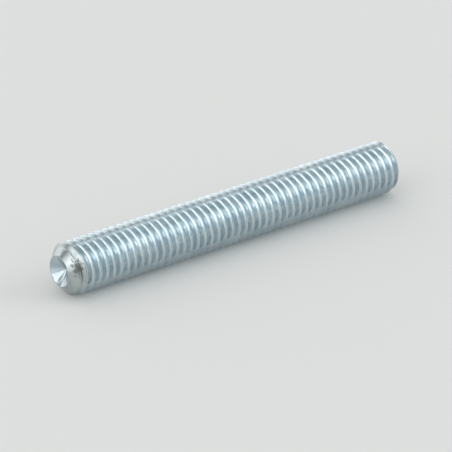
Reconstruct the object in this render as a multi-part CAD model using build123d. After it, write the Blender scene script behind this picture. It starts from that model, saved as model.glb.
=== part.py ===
"""Adjusting bolt: a headless hexagon-socket set screw, M8 by 60, with a cup point.

The real bolt is turned, rolled and broached from one steel bar, so it is one solid. It stands
on its flat socket end: the socket opens downwards at Z = 0 and the cup point faces up. The
origin is on the ground, on the bolt's axis, which is Z.
"""

import os
from math import cos, radians, tan

from build123d import *

# Thread: metric coarse, right hand. The solid carries it as its major cylinder.
MAJOR_DIAMETER = 8.0
PITCH = 1.25
DEPTH_SHARE = 0.6134  # depth of an external metric thread, in pitches

LENGTH = 60.0

# Cup point
CUP_DIAMETER = 4.8  # over the outer edge of the rim
RIM_WIDTH = 0.12  # flat land between the point's cone and the cup
CUP_ANGLE = 120.0  # included angle of the cup
POINT_ANGLE = 45.0  # between the point's cone and the axis

# Socket end
CHAMFER_ANGLE = 45.0  # between the end chamfer and the axis
CHAMFER_RELIEF = 0.1  # how far the chamfer runs in under the thread's root
SOCKET_ACROSS_FLATS = 4.0
SOCKET_DEPTH = 5.0  # along the flats, from the end face
SOCKET_FLOOR_ANGLE = 120.0  # included angle of the conical floor
MOUTH_ANGLE = 120.0  # included angle of the countersink round the mouth
MOUTH_MARGIN = 0.1  # how far the countersink reaches past the hexagon's corners

# Worked out from the sizes above
MAJOR_RADIUS = MAJOR_DIAMETER / 2
ROOT_RADIUS = MAJOR_RADIUS - DEPTH_SHARE * PITCH
END_FACE_RADIUS = ROOT_RADIUS - CHAMFER_RELIEF
CUP_MOUTH_RADIUS = CUP_DIAMETER / 2 - RIM_WIDTH
FLAT_RADIUS = SOCKET_ACROSS_FLATS / 2
CORNER_RADIUS = FLAT_RADIUS / cos(radians(30))


def turned(*corners):
    """The solid that a half section's (radius, height) corners sweep round the Z axis."""
    outline = Polyline(*[(radius, 0, height) for radius, height in corners], close=True)
    return revolve(make_face(outline), Axis.Z)


def cone_height(radius, included_angle):
    """Height of a cone of this base radius and included angle."""
    return radius / tan(radians(included_angle / 2))


def turned_blank():
    """The bar turned to length, with the end chamfer at the foot and the point's cone on top."""
    chamfer_height = (MAJOR_RADIUS - END_FACE_RADIUS) / tan(radians(CHAMFER_ANGLE))
    point_height = (MAJOR_RADIUS - CUP_DIAMETER / 2) / tan(radians(POINT_ANGLE))
    return turned(
        (0, 0),
        (END_FACE_RADIUS, 0),
        (MAJOR_RADIUS, chamfer_height),
        (MAJOR_RADIUS, LENGTH - point_height),
        (CUP_DIAMETER / 2, LENGTH),
        (0, LENGTH),
    )


def cup():
    """The conical hollow in the point, deepest on the axis."""
    depth = cone_height(CUP_MOUTH_RADIUS, CUP_ANGLE)
    return turned((0, LENGTH), (CUP_MOUTH_RADIUS, LENGTH), (0, LENGTH - depth))


def socket():
    """The hexagonal hollow for the key, with its conical floor and the countersink at its mouth."""
    mouth_radius = CORNER_RADIUS + MOUTH_MARGIN
    floor_depth = SOCKET_DEPTH + cone_height(FLAT_RADIUS, SOCKET_FLOOR_ANGLE)
    flats = extrude(RegularPolygon(CORNER_RADIUS, 6), SOCKET_DEPTH)
    floor = turned((0, SOCKET_DEPTH), (FLAT_RADIUS, SOCKET_DEPTH), (0, floor_depth))
    mouth = turned((0, 0), (mouth_radius, 0), (0, cone_height(mouth_radius, MOUTH_ANGLE)))
    return flats + floor + mouth


os.makedirs("parts", exist_ok=True)
bolt = turned_blank() - cup() - socket()
export_step(bolt, "parts/adjusting_bolt.step")
print("adjusting_bolt", round(bolt.volume, 2), "mm3", bolt.bounding_box())
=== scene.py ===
"""Adjusting bolt: the dressed model of a headless set screw in bright zinc plate.

The bolt stands on its socket end with its axis on Z and its cup point up, in metres, as the
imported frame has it. One closed surface carries the rolled right-hand thread, the cup point and
the hexagon socket, and takes the place of the frame's plain solid. The stage is a pale sheet
that touches the bolt's side along its whole length, and the camera is rolled on its own axis so
that the bolt lies across the picture on that sheet.
"""

import logging
from dataclasses import dataclass, field
from enum import Enum
from math import cos, pi, radians, sin, tan
from typing import Any, Mapping, Sequence, Union

import bpy
import numpy as np
from mathutils import Matrix, Vector


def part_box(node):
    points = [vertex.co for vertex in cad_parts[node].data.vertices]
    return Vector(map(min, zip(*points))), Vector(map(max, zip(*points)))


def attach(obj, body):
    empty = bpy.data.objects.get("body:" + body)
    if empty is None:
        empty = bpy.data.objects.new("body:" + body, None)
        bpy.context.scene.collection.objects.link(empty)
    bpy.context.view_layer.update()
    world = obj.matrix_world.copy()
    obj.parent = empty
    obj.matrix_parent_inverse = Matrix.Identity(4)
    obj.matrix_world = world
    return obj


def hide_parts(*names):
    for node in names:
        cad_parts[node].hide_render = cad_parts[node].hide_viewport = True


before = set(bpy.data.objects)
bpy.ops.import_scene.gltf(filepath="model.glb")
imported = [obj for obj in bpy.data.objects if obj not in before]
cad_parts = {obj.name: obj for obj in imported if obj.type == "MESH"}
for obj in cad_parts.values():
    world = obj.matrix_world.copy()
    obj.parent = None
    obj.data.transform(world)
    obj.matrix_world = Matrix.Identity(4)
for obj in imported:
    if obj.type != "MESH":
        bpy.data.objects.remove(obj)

log = logging.getLogger("adjusting_bolt")

MM = 0.001
NODE = "adjusting_bolt"
SLOT = "zinc_plate"

Triple = tuple[float, float, float]


# ---------------------------------------------------------------- shader tools


class Sum(Enum):
    """The Math node's operations that the expressions below use."""

    ADD = "ADD"
    SUBTRACT = "SUBTRACT"
    MULTIPLY = "MULTIPLY"
    POWER = "POWER"
    LEAST = "MINIMUM"
    MOST = "MAXIMUM"


class Value:
    """A node's output that holds a number, with arithmetic that adds Math nodes."""

    def __init__(self, tree: "ShaderTree", socket: bpy.types.NodeSocket) -> None:
        """Wraps one output socket of a tree."""
        self.tree = tree
        self.socket = socket

    def _with(self, kind: Sum, first: Any, second: Any) -> "Value":
        """The Math node of this kind on two values, either of which may be a number."""
        node = self.tree.node("ShaderNodeMath", {"operation": kind.value}, {0: first, 1: second})
        return node.value(0)

    def __add__(self, other: Any) -> "Value":
        """This value plus another."""
        return self._with(Sum.ADD, self, other)

    def __radd__(self, other: Any) -> "Value":
        """Another value plus this one."""
        return self._with(Sum.ADD, other, self)

    def __sub__(self, other: Any) -> "Value":
        """This value less another."""
        return self._with(Sum.SUBTRACT, self, other)

    def __rsub__(self, other: Any) -> "Value":
        """Another value less this one."""
        return self._with(Sum.SUBTRACT, other, self)

    def __mul__(self, other: Any) -> "Value":
        """This value times another."""
        return self._with(Sum.MULTIPLY, self, other)

    def __rmul__(self, other: Any) -> "Value":
        """Another value times this one."""
        return self._with(Sum.MULTIPLY, other, self)

    def __pow__(self, other: Any) -> "Value":
        """This value to a power."""
        return self._with(Sum.POWER, self, other)

    def least(self, other: Any) -> "Value":
        """The smaller of this value and another."""
        return self._with(Sum.LEAST, self, other)

    def most(self, other: Any) -> "Value":
        """The larger of this value and another."""
        return self._with(Sum.MOST, self, other)

    def ramp(self, start: float, end: float) -> "Value":
        """A smooth step: 0 where this value is at start, 1 where it is at end."""
        node = self.tree.node(
            "ShaderNodeMapRange",
            {"interpolation_type": "SMOOTHSTEP"},
            {"Value": self, "From Min": start, "From Max": end},
        )
        return node.value("Result")


class Node:
    """A shader node, whose outputs are read by name or number."""

    def __init__(self, tree: "ShaderTree", made: bpy.types.Node) -> None:
        """Wraps one node of a tree."""
        self.tree = tree
        self.made = made

    def value(self, output: Union[int, str] = 0) -> Value:
        """One of the node's outputs, wrapped for arithmetic."""
        return Value(self.tree, self.made.outputs[output])


Feed = Union[Value, Node, float, Sequence[float]]


class ShaderTree:
    """The node tree of a material or a world, built from nothing."""

    def __init__(self, owner: Union[bpy.types.Material, bpy.types.World]) -> None:
        """Empties the owner's node tree and takes it over."""
        owner.use_nodes = True
        self.tree = owner.node_tree
        self.tree.nodes.clear()

    def node(
        self,
        kind: str,
        settings: Mapping[str, Any] | None = None,
        inputs: Mapping[Union[int, str], Feed] | None = None,
    ) -> Node:
        """Adds one node: its settings first, then its sockets.

        Args:
            kind: the node's type.
            settings: the node's own properties, such as a Math node's operation.
            inputs: a number, a tuple or another node's output for each named socket.

        Returns:
            The node, wrapped.
        """
        made = self.tree.nodes.new(kind)
        for name, setting in (settings or {}).items():
            setattr(made, name, setting)
        for name, feed in (inputs or {}).items():
            socket = made.inputs[name]
            if isinstance(feed, Node):
                self.tree.links.new(feed.made.outputs[0], socket)
            elif isinstance(feed, Value):
                self.tree.links.new(feed.socket, socket)
            else:
                socket.default_value = feed
        return Node(self, made)

    def colours(self, share: Feed, first: Any, second: Any) -> Value:
        """The mix of two colours, each a link or a tuple, by a share of the second."""
        a = (*first, 1.0) if isinstance(first, tuple) else first
        b = (*second, 1.0) if isinstance(second, tuple) else second
        node = self.node("ShaderNodeMix", {"data_type": "RGBA"}, {0: share, 6: a, 7: b})
        return Value(self, node.made.outputs[2])

    def dot(self, vector: Value, direction: Triple) -> Value:
        """The dot product of a vector with a fixed direction."""
        node = self.node(
            "ShaderNodeVectorMath", {"operation": "DOT_PRODUCT"}, {0: vector, 1: direction}
        )
        return node.value("Value")

    def noise(self, vector: Value, scale: float, detail: float, **more: float) -> Value:
        """The value of a noise texture on a vector."""
        sockets = {"Vector": vector, "Scale": scale, "Detail": detail}
        sockets.update({name.replace("_", " ").title(): feed for name, feed in more.items()})
        return self.node("ShaderNodeTexNoise", {}, sockets).value(0)


# ---------------------------------------------------------------- finishes


@dataclass(frozen=True)
class ZincPlate:
    """Bright zinc plate with a clear bluish passivation, on rolled and turned steel.

    The plate is clouded and finely speckled all over. Its crests are made paler, which is a
    painted highlight, and the thread's roots greyer, which is painted shade. Where the plate is
    thin, on the point's cone and the first ridges behind it, the metal is neutral and mottled,
    with one ragged scuff that is dull, rough and less metallic, and the edge of the rim is dull.
    Each band or fade is the pair of places where its mask starts and where it is full.
    """

    top: float
    bluish: Triple = (0.57, 0.66, 0.705)
    pale: Triple = (0.69, 0.765, 0.795)
    grey: Triple = (0.41, 0.48, 0.515)
    neutral: Triple = (0.54, 0.57, 0.565)
    dull: Triple = (0.17, 0.18, 0.16)
    rim: Triple = (0.40, 0.45, 0.47)
    roughness: float = 0.14
    cloud_scale: float = 380.0
    fine_scale: float = 2400.0
    grain_scale: float = 9000.0
    point_fade: tuple[float, float] = (3.1 * MM, 1.5 * MM)
    # painted highlight: the band where the crests' colour turns paler
    crest_highlight_band: tuple[float, float] = (3.86 * MM, 3.98 * MM)
    # painted shade: the band where the roots' colour turns greyer
    root_shade_band: tuple[float, float] = (3.45 * MM, 3.27 * MM)
    rim_depth: tuple[float, float] = (0.05 * MM, 0.02 * MM)
    cup_radius: float = 2.28 * MM
    rim_radius: float = 2.4 * MM
    scuff: Triple = (-0.3 * MM, -3.5 * MM, -1.05 * MM)
    scuff_size: float = 1.0 * MM
    scuff_stretch: float = 0.3

    def build(self) -> bpy.types.Material:
        """The plate's material, on Object coordinates.

        Returns:
            A new material.
        """
        material = bpy.data.materials.new(SLOT)
        tree = ShaderTree(material)
        place = tree.node("ShaderNodeTexCoord").value("Object")
        parts = tree.node("ShaderNodeSeparateXYZ", {}, {0: place})
        x, y, z = (parts.value(axis) for axis in "XYZ")
        radius = (x * x + y * y) ** 0.5

        cloud = tree.noise(place, self.cloud_scale, 3.0, roughness=0.6)
        fine = tree.noise(place, self.fine_scale, 2.0, roughness=0.6)
        grain = tree.noise(place, self.grain_scale, 1.0)
        outside = radius.ramp(self.cup_radius, self.rim_radius)
        point = z.ramp(*(self.top - below for below in self.point_fade)) * outside
        crest = radius.ramp(*self.crest_highlight_band)
        root = radius.ramp(*self.root_shade_band)

        body = tree.colours(cloud.ramp(0.38, 0.66), self.bluish, self.pale)
        body = tree.colours(fine.ramp(0.50, 0.68) * 0.55, body, self.grey)
        # painted shade: the thread's roots are mixed towards grey
        body = tree.colours(root * 0.3, body, self.grey)
        # painted highlight: the crests are mixed towards the pale colour
        body = tree.colours(crest * 0.5, body, self.pale)

        dx, dy, dz = (
            part - (middle + base)
            for part, middle, base in zip((x, y, z), self.scuff, (0.0, 0.0, self.top))
        )
        away = (dx * dx * self.scuff_stretch + dy * dy + dz * dz) ** 0.5
        ragged = away + (fine - 0.5) * self.scuff_size * 2.5
        scuffed = (1 - ragged.ramp(self.scuff_size * 0.2, self.scuff_size)) * point
        mottle = (cloud.ramp(0.42, 0.60) * 0.35 + scuffed * 0.7).least(1.0)
        tip = tree.colours(mottle, self.neutral, self.dull)
        colour = tree.colours(point * 0.85, body, tip)
        on_rim = z.ramp(*(self.top - below for below in self.rim_depth)) * outside
        colour = tree.colours(scuffed * 0.6, colour, self.dull)
        colour = tree.colours(on_rim * 0.9, colour, self.rim)

        rough = self.roughness + (fine - 0.5) * 0.20 + point * 0.03 + scuffed * 0.3
        rough = rough + on_rim * 0.25
        height = fine * 0.5 + grain * 0.2 + cloud * 0.6
        bump = tree.node(
            "ShaderNodeBump", {}, {"Strength": 0.3, "Distance": 0.02 * MM, "Height": height}
        )
        shader = tree.node(
            "ShaderNodeBsdfPrincipled",
            {},
            {
                "Base Color": colour,
                "Metallic": 1 - scuffed * 0.6,
                "Roughness": rough,
                "Normal": bump,
            },
        )
        tree.node("ShaderNodeOutputMaterial", {}, {"Surface": shader})
        return material


@dataclass(frozen=True)
class PaleSheet:
    """The plain pale surface of the stage, seen from its front only.

    The bolt mirrors it partly clear, so that the shade close under the bolt stays as light as
    the light bounced between the two makes it.
    """

    colour: Triple = (0.855, 0.855, 0.84)
    mirrored_clear: float = 0.3

    def build(self) -> bpy.types.Material:
        """The sheet's material.

        Returns:
            A new material.
        """
        material = bpy.data.materials.new("pale_sheet")
        tree = ShaderTree(material)
        back = tree.node("ShaderNodeNewGeometry").value("Backfacing")
        mirrored = tree.node("ShaderNodeLightPath").value("Is Glossy Ray")
        hidden = back.most(mirrored * self.mirrored_clear)
        front = tree.node("ShaderNodeBsdfDiffuse", {}, {"Color": (*self.colour, 1.0)})
        clear = tree.node("ShaderNodeBsdfTransparent")
        mixed = tree.node("ShaderNodeMixShader", {}, {0: hidden, 1: front, 2: clear})
        tree.node("ShaderNodeOutputMaterial", {}, {"Surface": mixed})
        return material


# ---------------------------------------------------------------- the bolt


@dataclass
class ThreadForm:
    """The section of a metric thread, symmetrical about its crest.

    The flanks stand at 30 degrees to a plane across the axis. The crest is a flat an eighth of
    the pitch wide with rounded corners, and the root is one arc that is tangent to both flanks.
    """

    major_radius: float
    pitch: float = 1.25 * MM
    depth_share: float = 0.6134
    crest_rounding: float = 0.07 * MM
    crest_steps: int = 4
    root_steps: int = 6
    flank_steps: int = 2
    half_angle: float = radians(30)

    @property
    def root_radius(self) -> float:
        """Distance from the axis to the bottom of the root."""
        return self.major_radius - self.depth_share * self.pitch

    def section(self) -> tuple[np.ndarray, np.ndarray]:
        """One pitch of the section, from the lower end of a crest to just short of the next.

        The crest's corner is an arc from level to the flank's slope. The root's arc has the
        radius that makes its bottom lie at the thread's depth, which is the depth that a sharp
        root would have less the wanted one, since the arc's bottom stands one radius off a
        sharp 60-degree corner.

        Returns:
            Heights from the crest's middle and distances from the axis.
        """
        slope = pi / 2 - self.half_angle
        crest_half = self.pitch / 16
        sharp_depth = (self.pitch / 2 - crest_half) / tan(self.half_angle)
        root_arc = sharp_depth - self.depth_share * self.pitch
        corner = crest_half - self.crest_rounding * tan(slope / 2)

        turn = np.linspace(0.0, slope, self.crest_steps)
        crest_z = corner + self.crest_rounding * np.sin(turn)
        crest_r = self.major_radius - self.crest_rounding * (1 - np.cos(turn))
        swing = np.linspace(-slope, slope, self.root_steps)
        root_z = self.pitch / 2 + root_arc * np.sin(swing)
        root_r = self.major_radius - sharp_depth + root_arc * (2 - np.cos(swing))
        down = np.arange(1, self.flank_steps + 1) / (self.flank_steps + 1)
        flank_z = crest_z[-1] + (root_z[0] - crest_z[-1]) * down
        flank_r = crest_r[-1] + (root_r[0] - crest_r[-1]) * down

        heights = np.concatenate(
            [-crest_z[::-1], crest_z, flank_z, root_z, self.pitch - flank_z[::-1]]
        )
        distances = np.concatenate([crest_r[::-1], crest_r, flank_r, root_r, flank_r[::-1]])
        return heights, distances


@dataclass(frozen=True)
class Flute:
    """A shallow groove down the cup's wall, by its turn and width in degrees and its depth."""

    turn: float
    width: float
    depth: float


@dataclass
class CupPoint:
    """The cup point: a cone down to a narrow flat rim, and a conical hollow inside it."""

    rim_radius: float = 2.4 * MM
    rim_width: float = 0.12 * MM
    edge: float = 0.05 * MM
    edge_drop: float = 0.01 * MM
    cone_slope: float = tan(radians(45))
    cup_slope: float = tan(radians(60))
    wall_rows: int = 26
    flutes: tuple[Flute, ...] = ()

    def limit(self, height: np.ndarray, top: float) -> np.ndarray:
        """The cone's distance from the axis at each height."""
        return self.rim_radius + (top - height) * self.cone_slope

    def rings(self, angles: np.ndarray, top: float) -> tuple[np.ndarray, np.ndarray]:
        """Rings over the rim and down the cup's wall, short of its lowest point.

        Args:
            angles: the columns' angles round the axis.
            top: the height of the rim.

        Returns:
            Distances from the axis and heights, one row for each ring.
        """
        mouth = self.rim_radius - self.rim_width
        turn = np.linspace(0.0, 1.0, 4)[1:-1, None] * radians(45)
        outer_r = self.rim_radius - self.edge * np.tan(turn / 2)
        outer_z = top - self.edge_drop * (1 - turn / radians(45)) ** 2
        share = np.linspace(1.0, 0.0, self.wall_rows + 1)[:-1, None] ** 1.15
        wall_r = mouth * share
        wall_z = top - (mouth - wall_r) / self.cup_slope
        lift = np.zeros((1, len(angles)))
        for flute in self.flutes:
            off = (angles - radians(flute.turn) + pi) % (2 * pi) - pi
            lift = lift - flute.depth * np.exp(-((off / radians(flute.width)) ** 2))[None, :]
        body = np.sin(pi * np.clip(share, 0, 1)) ** 0.7
        wall_z = wall_z + lift * body
        columns = np.ones((1, len(angles)))
        rows_r = np.concatenate([outer_r * columns, wall_r * columns])
        rows_z = np.concatenate([outer_z * columns, wall_z * columns])
        return rows_r, rows_z

    def depth(self) -> float:
        """How far the cup's lowest point lies below its rim."""
        return (self.rim_radius - self.rim_width) / self.cup_slope


@dataclass
class HexSocket:
    """The socket end: end chamfer, flat end face, countersunk mouth, hexagon and floor."""

    root_radius: float
    chamfer_relief: float = 0.1 * MM
    chamfer_slope: float = tan(radians(45))
    across_flats: float = 4.0 * MM
    flats_depth: float = 5.0 * MM
    mouth_margin: float = 0.1 * MM
    mouth_slope: float = tan(radians(60))
    floor_slope: float = tan(radians(60))
    wall_rows: int = 6

    @property
    def face_radius(self) -> float:
        """Distance from the axis to the edge of the end face."""
        return self.root_radius - self.chamfer_relief

    def limit(self, height: np.ndarray) -> np.ndarray:
        """The end chamfer's distance from the axis at each height."""
        return self.face_radius + height / self.chamfer_slope

    def floor_height(self) -> float:
        """Height of the highest point of the socket's floor."""
        return self.flats_depth + self.across_flats / 2 / self.floor_slope

    def rings(self, angles: np.ndarray) -> tuple[np.ndarray, np.ndarray]:
        """Rings from the socket's floor out to the end face, short of its outer edge.

        The hexagon's distance from the axis is half the width across flats over the cosine of
        the angle from the nearest flat's middle. The countersink meets it where its cone has
        that same distance.

        Args:
            angles: the columns' angles round the axis.

        Returns:
            Distances from the axis and heights, one row for each ring.
        """
        flat = self.across_flats / 2
        hexagon = flat / np.cos(angles % (pi / 3) - pi / 6)
        mouth = flat / cos(pi / 6) + self.mouth_margin
        columns = np.ones_like(angles)
        floor = np.linspace(0.2, 0.98, 5)[:, None] * flat * columns
        floor_z = self.floor_height() - floor / self.floor_slope
        foot = (mouth - hexagon) / self.mouth_slope
        down = np.linspace(0.0, 1.0, self.wall_rows)[:, None]
        wall_z = self.flats_depth + (foot - self.flats_depth) * down
        face = np.linspace(mouth, self.face_radius, 4)[:-1, None] * columns
        rows_r = np.concatenate([floor, hexagon * np.ones_like(down), face])
        rows_z = np.concatenate([floor_z, wall_z, np.zeros_like(face)])
        return rows_r, rows_z


@dataclass
class AdjustingBolt:
    """The whole bolt as one closed surface over angle and path.

    The path runs from the socket's floor, out over the end face, up the thread and over the rim
    to the bottom of the cup. Angles run once round the axis. The thread's rows climb one pitch
    on the way round, so the last column joins the first one a whole section further on.
    """

    length: float
    major_radius: float
    finish: ZincPlate
    columns: int = 96
    crest_phase: float = 0.66
    crest_wander: float = 0.012 * MM
    thread: ThreadForm = field(init=False)
    point: CupPoint = field(init=False)
    socket: HexSocket = field(init=False)

    def __post_init__(self) -> None:
        """Makes the sub-forms that follow from the length and the diameter."""
        self.thread = ThreadForm(self.major_radius)
        self.point = CupPoint(
            flutes=(
                Flute(156.0, 9.0, 0.06 * MM),
                Flute(120.0, 9.0, 0.06 * MM),
                Flute(92.0, 8.0, 0.03 * MM),
                Flute(-160.0, 10.0, 0.03 * MM),
            )
        )
        self.socket = HexSocket(self.thread.root_radius)

    def thread_sheet(self, angles: np.ndarray) -> tuple[np.ndarray, np.ndarray, np.ndarray]:
        """The thread's sheet, cut by the point's cone and the end chamfer.

        A point of the section lies at its height plus a pitch for each turn and the helix's
        rise, which is the pitch times the angle over a full turn. Where the section stands out
        of the cone or the chamfer, it is drawn in to it, and the row nearest to each crossing
        is moved onto it so that the edge is crisp.

        Args:
            angles: the columns' angles round the axis.

        Returns:
            Distances from the axis and heights by row and column, and each point's state: -1
            at or past the lower edge, 1 at or past the upper one, 0 between.
        """
        heights, distances = self.thread.section()
        pitch = self.thread.pitch
        turns = int(round(self.length / pitch)) + 5
        turn = np.repeat(np.arange(turns) - 3.0, len(heights))
        rise = angles / (2 * pi) + self.crest_phase
        z = (turn * pitch + np.tile(heights, turns))[:, None] + rise[None, :] * pitch
        r = np.tile(distances, turns)[:, None] * np.ones_like(rise)[None, :]
        r = r - self.crest_wander * self.wander(angles[None, :], z) * (r > self.thread.root_radius)

        bound = np.minimum(self.point.limit(z, self.length), self.socket.limit(z))
        gap = r - bound
        crossing = gap[:-1] * gap[1:] < 0
        share = np.where(crossing, gap[:-1] / np.where(crossing, gap[:-1] - gap[1:], 1.0), 0.0)
        cut_z = z[:-1] + share * (z[1:] - z[:-1])
        cut_r = r[:-1] + share * (r[1:] - r[:-1])
        r = np.minimum(r, bound)
        first = crossing & (share < 0.5)
        second = crossing & ~first
        z[:-1][first], r[:-1][first] = cut_z[first], cut_r[first]
        z[1:][second], r[1:][second] = cut_z[second], cut_r[second]

        low, high = 0.0, self.length - self.point.edge_drop
        margin = 0.02 * MM
        state = np.where(z <= low + margin, -1, np.where(z >= high - margin, 1, 0))
        return r, z, state

    def wander(self, angle: np.ndarray, z: np.ndarray) -> np.ndarray:
        """How far the rolled crest falls short of its full radius, from 0 to 1.

        A sum of three sines of the way along the helix, squared.
        """
        way = angle + z / self.thread.pitch * 2 * pi
        slow = np.sin(way * 0.37 + 1.3) + np.sin(way * 0.91 + 4.0) + np.sin(way * 2.3 + z * 900)
        return (slow / 3) ** 2

    def surface(self) -> tuple[np.ndarray, np.ndarray]:
        """The bolt's vertices and triangles.

        Every quad of the grid gives two triangles, and one that has lost a corner where rows
        meet on an edge is left out.

        Returns:
            Vertex places and triangles of vertex numbers.
        """
        angles = np.arange(self.columns) * 2 * pi / self.columns
        step = len(self.thread.section()[0])
        sheet_r, sheet_z, state = self.thread_sheet(angles)
        socket_r, socket_z = self.socket.rings(angles)
        point_r, point_z = self.point.rings(angles, self.length)

        places: list[np.ndarray] = []
        count = 0

        def add(r: np.ndarray, z: np.ndarray) -> np.ndarray:
            """Adds vertices at these distances and heights, and returns their numbers."""
            nonlocal count
            around = np.broadcast_to(angles, r.shape)
            places.append(np.stack([r * np.cos(around), r * np.sin(around), z], -1).reshape(-1, 3))
            numbers = count + np.arange(r.size).reshape(r.shape)
            count += r.size
            return numbers

        def pole(height: float) -> np.ndarray:
            """Adds one vertex on the axis, and returns a row of its number."""
            nonlocal count
            places.append(np.array([[0.0, 0.0, height]]))
            count += 1
            return np.full(self.columns, count - 1)

        start = pole(self.socket.floor_height())
        socket_rows = add(socket_r, socket_z)
        low_edge = add(np.full(self.columns, self.socket.face_radius), np.zeros(self.columns))
        high = self.length - self.point.edge_drop
        high_edge = add(
            np.full(self.columns, float(self.point.limit(np.array(high), self.length))),
            np.full(self.columns, high),
        )
        point_rows = add(point_r, point_z)
        end = pole(self.length - self.point.depth())

        sheet = np.where(state < 0, low_edge[None, :], np.where(state > 0, high_edge[None, :], -1))
        kept = state == 0
        around = np.broadcast_to(angles, sheet_r.shape)[kept]
        r, z = sheet_r[kept], sheet_z[kept]
        places.append(np.stack([r * np.cos(around), r * np.sin(around), z], -1))
        sheet[kept] = count + np.arange(kept.sum())

        next_turn = np.concatenate([sheet[step:, 0], np.repeat(sheet[-1:, 0], step)])
        sheet = np.concatenate([sheet, next_turn[:, None]], axis=1)
        before = np.vstack([start[None], socket_rows, low_edge[None]])
        after = np.vstack([high_edge[None], point_rows, end[None]])
        before = np.concatenate([before, before[:, :1]], axis=1)
        after = np.concatenate([after, after[:, :1]], axis=1)

        triangles = []
        for grid in (before, sheet, after):
            a, b = grid[:-1, :-1].ravel(), grid[:-1, 1:].ravel()
            c, d = grid[1:, 1:].ravel(), grid[1:, :-1].ravel()
            triangles += [np.stack([a, b, c], 1), np.stack([a, c, d], 1)]
        faces = np.concatenate(triangles)
        whole = (
            (faces[:, 0] != faces[:, 1])
            & (faces[:, 1] != faces[:, 2])
            & (faces[:, 2] != faces[:, 0])
        )
        return np.concatenate(places), faces[whole]

    def build(self) -> bpy.types.Object:
        """Makes the bolt's object, dresses it and ties it to the frame.

        Returns:
            The bolt's object.
        """
        vertices, faces = self.surface()
        mesh = bpy.data.meshes.new("threaded_bolt")
        mesh.vertices.add(len(vertices))
        mesh.vertices.foreach_set("co", vertices.astype(np.float32).ravel())
        mesh.loops.add(faces.size)
        mesh.loops.foreach_set("vertex_index", faces.astype(np.int32).ravel())
        mesh.polygons.add(len(faces))
        mesh.polygons.foreach_set("loop_start", np.arange(0, faces.size, 3, dtype=np.int32))
        mesh.update(calc_edges=True)
        mesh.validate()
        mesh.shade_smooth()
        mesh.set_sharp_from_angle(angle=radians(32))
        mesh.materials.append(self.finish.build())
        bolt = bpy.data.objects.new("threaded_bolt", mesh)
        bpy.context.collection.objects.link(bolt)
        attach(bolt, "root")
        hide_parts(NODE)
        log.info("threaded_bolt: %d vertices, %d triangles", len(vertices), len(faces))
        return bolt


# ---------------------------------------------------------------- stage, light and camera


@dataclass
class Stage:
    """A large pale sheet that touches the bolt's side.

    It takes the bolt's shadow and shows in the bolt's reflections, but throws no shadow, and it
    is clear from behind, so that it hides the bolt from no side.
    """

    facing: Triple
    radius: float
    half_width: float = 0.4
    middle: float = 0.03
    finish: PaleSheet = PaleSheet()

    def build(self) -> bpy.types.Object:
        """Makes the sheet square to its facing direction, one bolt radius off the axis.

        Returns:
            The sheet's object.
        """
        out = np.array(self.facing)
        side = np.array([-out[1], out[0], 0.0])
        corner = np.array([[-1, -1], [1, -1], [1, 1], [-1, 1]]) * self.half_width
        places = -out * self.radius + corner[:, :1] * side
        places[:, 2] = self.middle + corner[:, 1]
        mesh = bpy.data.meshes.new("backdrop")
        mesh.from_pydata(places.tolist(), [], [(0, 1, 2, 3)])
        mesh.materials.append(self.finish.build())
        sheet = bpy.data.objects.new("backdrop", mesh)
        bpy.context.collection.objects.link(sheet)
        sheet.visible_diffuse = False
        sheet.visible_transmission = False
        sheet.visible_shadow = False
        log.info("backdrop: one sheet, %.1f m wide", 2 * self.half_width)
        return sheet


@dataclass(frozen=True)
class Softbox:
    """A round patch of soft light, placed by two angles in degrees.

    The turn runs from the bolt's socket end at 0, over the side away from the camera at 90, to
    the cup at 180, and the height is the angle above the backdrop. The patch is at full strength
    up to its inner angle and has faded out at its outer one.
    """

    use: str
    turn: float
    height: float
    inner: float
    outer: float
    strength: float


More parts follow.
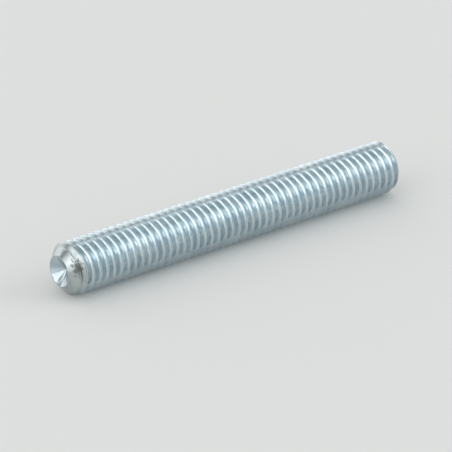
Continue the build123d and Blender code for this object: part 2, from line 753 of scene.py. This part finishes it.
@dataclass
class StudioLight:
    """The studio: soft patches in a pale surround, and a plain background.

    The bolt mirrors white patches and a bluish sky. The backdrop is lit by a plainer dome of its
    own, so that its shadow is one soft shape.
    """

    facing: Triple
    patches: tuple[Softbox, ...]
    sky_level: float
    sky: tuple[Softbox, ...]
    dome_level: float
    dome: tuple[Softbox, ...]
    sky_tint: Triple = (0.90, 1.0, 1.03)
    background: Triple = (0.745, 0.76, 0.737)

    def towards(self, box: Softbox) -> Triple:
        """The direction of a patch, as a unit vector in the bolt's frame."""
        turn, height = radians(box.turn), radians(box.height)
        out = Vector(self.facing)
        across = Vector((-out.y, out.x, 0.0))
        along = Vector((0.0, 0.0, -1.0))
        level = along * cos(turn) + across * sin(turn)
        return tuple(level * cos(height) + out * sin(height))

    def glow(
        self, tree: ShaderTree, towards: Value, level: float, patches: tuple[Softbox, ...]
    ) -> Value:
        """The brightness in each direction: a level, and each patch fading out at its edge.

        Args:
            tree: the world's tree.
            towards: the direction looked in.
            level: the brightness between the patches.
            patches: the patches.

        Returns:
            The brightness.
        """
        total: Any = level
        for patch in patches:
            near = tree.dot(towards, self.towards(patch))
            edge = near.ramp(cos(radians(patch.outer)), cos(radians(patch.inner)))
            total = edge * patch.strength + total
        return total

    def build(self) -> bpy.types.World:
        """Makes the world.

        Returns:
            The world.
        """
        world = bpy.data.worlds.new("studio")
        tree = ShaderTree(world)
        towards = tree.node("ShaderNodeTexCoord").value("Generated")

        def background(tint: Triple, level: float, patches: tuple[Softbox, ...]) -> Node:
            """One background shader of a tint."""
            sockets = {
                "Color": (*tint, 1.0),
                "Strength": self.glow(tree, towards, level, patches),
            }
            return tree.node("ShaderNodeBackground", {}, sockets)

        white = (1.0, 1.0, 1.0)
        boxes = background(white, 0.0, self.patches)
        sky = background(self.sky_tint, self.sky_level, self.sky)
        mirrored = tree.node("ShaderNodeAddShader", {}, {0: boxes, 1: sky})
        dome = background(white, self.dome_level, self.dome)
        plain = tree.node(
            "ShaderNodeBackground", {}, {"Color": (*self.background, 1.0), "Strength": 1.0}
        )
        path = tree.node("ShaderNodeLightPath")
        lit = tree.node(
            "ShaderNodeMixShader", {}, {0: path.value("Is Diffuse Ray"), 1: mirrored, 2: dome}
        )
        mixed = tree.node(
            "ShaderNodeMixShader", {}, {0: path.value("Is Camera Ray"), 1: lit, 2: plain}
        )
        tree.node("ShaderNodeOutputWorld", {}, {"Surface": mixed})
        bpy.context.scene.world = world
        lamps = [box.use for box in (*self.patches, *self.sky, *self.dome)]
        log.info("studio: %s", ", ".join(lamps))
        return world


@dataclass
class ProductCamera:
    """A long-lens camera above and before the bolt, rolled so that the bolt lies across.

    The elevation and the roll are in degrees, and the aim is near the middle of the bolt.
    """

    elevation: float = 32.2
    roll: float = -108.1
    distance: float = 700.0 * MM
    lens: float = 377.0
    aim: Triple = (-1.2 * MM, 0.75 * MM, 30.05 * MM)

    def build(self) -> bpy.types.Object:
        """Makes the camera and gives it to the scene.

        Returns:
            The camera's object.
        """
        lift, turn = radians(self.elevation), radians(self.roll)
        back = Vector((0.0, -cos(lift), sin(lift)))
        level = Vector((1.0, 0.0, 0.0))
        up = back.cross(level)
        right = level * cos(turn) + up * sin(turn)
        over = back.cross(right)
        data = bpy.data.cameras.new("camera")
        data.lens = self.lens
        data.sensor_width = 36.0
        data.clip_start, data.clip_end = 0.05, 5.0
        camera = bpy.data.objects.new("camera", data)
        place = Vector(self.aim) + back * self.distance
        turned = Matrix((right, over, back)).transposed().to_4x4()
        camera.matrix_world = Matrix.Translation(place) @ turned
        bpy.context.collection.objects.link(camera)
        bpy.context.scene.camera = camera
        log.info("camera: %.0f mm lens at %.2f m", self.lens, self.distance)
        return camera


def main() -> None:
    """Builds the bolt and its studio."""
    logging.basicConfig(level=logging.INFO, format="%(name)s %(message)s")
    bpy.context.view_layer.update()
    low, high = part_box(NODE)
    radius = min(high[0], high[1], -low[0], -low[1])
    length = high[2] - low[2]
    facing_turn = radians(-31.5)
    facing = (cos(facing_turn), sin(facing_turn), 0.0)

    AdjustingBolt(length, radius, finish=ZincPlate(top=length)).build()
    Stage(facing, radius).build()
    StudioLight(
        facing,
        patches=(
            Softbox("key", -30, 30, 5, 30, 2.0),
            Softbox("behind", 90, 15, 15, 45, 1.0),
            Softbox("before the cup", 180, 15, 15, 45, 1.2),
            Softbox("over the cup", -150, 45, 10, 30, 0.5),
        ),
        sky_level=0.4,
        sky=(
            Softbox("camera side", -90, 30, 30, 60, 0.4),
            Softbox("overhead", 0, 90, 30, 60, 0.3),
        ),
        dome_level=0.4,
        dome=(Softbox("dome", 90, 60, 15, 75, 0.5),),
    ).build()
    ProductCamera().build()

    bpy.context.scene.view_settings.view_transform = "Standard"


if __name__ == "__main__":
    main()
